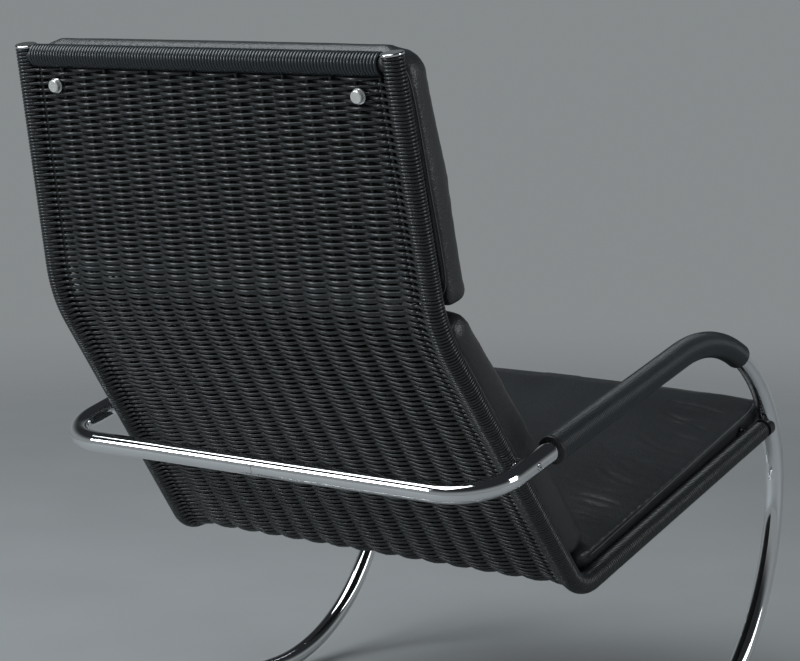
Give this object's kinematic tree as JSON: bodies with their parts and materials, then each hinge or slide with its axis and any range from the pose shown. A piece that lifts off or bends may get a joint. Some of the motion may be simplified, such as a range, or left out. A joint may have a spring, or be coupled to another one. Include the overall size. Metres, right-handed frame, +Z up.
{
  "type": "cantilever lounge chair",
  "caption": "Cantilever lounge chair: bent chromed tube frame, black woven wicker shell, wound armrests, and black leather head, back and seat cushions.",
  "frame": {"origin": "on the floor, under the middle of the chair's overall box", "axes": "+X to the sitter's left, across the chair; -Y is the front, where the sitter faces; +Z up"},
  "size_m": [0.6854, 0.8346, 0.9282],
  "materials": {
    "chrome": "mirror-bright chrome plate",
    "steel": "plain zinc-plated steel",
    "black_steel": "black paint",
    "wicker": "black satin lacquered cane strand",
    "cane": "black stained cane rod",
    "arm_winding": "black satin lacquered fine cane winding",
    "black_plastic": "black moulded plastic",
    "clear_plastic": "translucent glide plastic",
    "leather": "black semi-gloss leather over foam"
  },
  "bodies": {
    "root": {"armrest_ring_left": "black_plastic", "armrest_ring_right": "black_plastic", "armrest_wrap_left": "arm_winding", "armrest_wrap_right": "arm_winding", "back_cushion": "leather", "cushion_stud_left": "steel", "cushion_stud_right": "steel", "floor_bar_pin": "steel", "frame_tube_left": "chrome", "frame_tube_right": "chrome", "front_bar_wrap": "wicker", "front_glide_left": "clear_plastic", "front_glide_right": "clear_plastic", "front_screw_left": "chrome", "front_screw_right": "chrome", "head_cushion": "leather", "knob_left": "chrome", "knob_right": "chrome", "knob_washer_left": "chrome", "knob_washer_right": "chrome", "rail_plug_left": "black_plastic", "rail_plug_right": "black_plastic", "rear_bar_pin": "steel", "rear_bolt_left": "chrome", "rear_bolt_right": "chrome", "rear_glide_left": "clear_plastic", "rear_glide_right": "clear_plastic", "seat_cushion": "leather", "shell_bush_left": "steel", "shell_bush_right": "steel", "shell_front_bar": "black_steel", "shell_side_tube_left": "black_steel", "shell_side_tube_right": "black_steel", "shell_spacer_left": "steel", "shell_spacer_right": "steel", "shell_top_bar": "black_steel", "side_wrap_left": "wicker", "side_wrap_right": "wicker", "top_bar_wrap": "wicker", "tube_cap_left": "chrome", "tube_cap_right": "chrome", "wicker_edge_rod_left": "cane", "wicker_edge_rod_right": "cane", "wicker_stakes_left": "cane", "wicker_stakes_right": "cane", "woven_panel": "wicker"}
  },
  "joints": []
}
